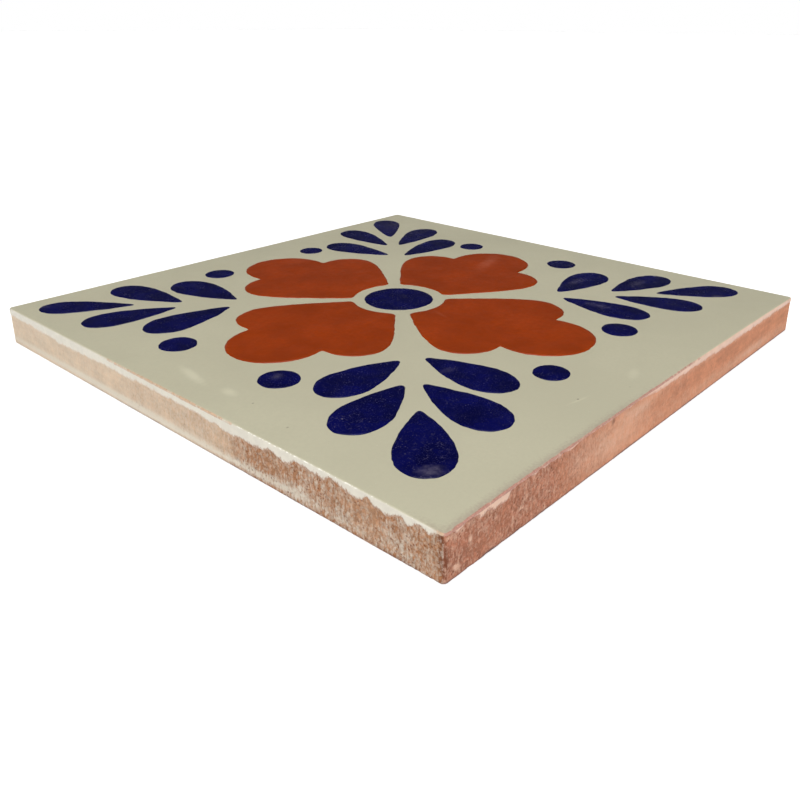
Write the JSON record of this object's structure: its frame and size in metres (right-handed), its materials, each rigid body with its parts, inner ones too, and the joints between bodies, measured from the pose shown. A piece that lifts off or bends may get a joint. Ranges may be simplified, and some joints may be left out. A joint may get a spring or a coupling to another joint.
{
  "type": "handmade clay tile",
  "caption": "Square handmade clay wall tile with bare sides and back, a cream glazed face and a raised enamel flower with corner sprays of drops.",
  "frame": {"origin": "centre of the bare back, which is the tile's underside as it lies", "axes": "+Z through the thickness, from the bare back to the glazed face; X and Y along the edges, with the picture's near corner at -X, -Y"},
  "size_m": [0.15, 0.15, 0.01],
  "materials": {
    "glazed_clay": "gloss",
    "bare_clay": "matte",
    "cobalt_enamel": "gloss",
    "rust_enamel": "gloss"
  },
  "bodies": {
    "root": {"tile": "glazed_clay"}
  },
  "joints": []
}
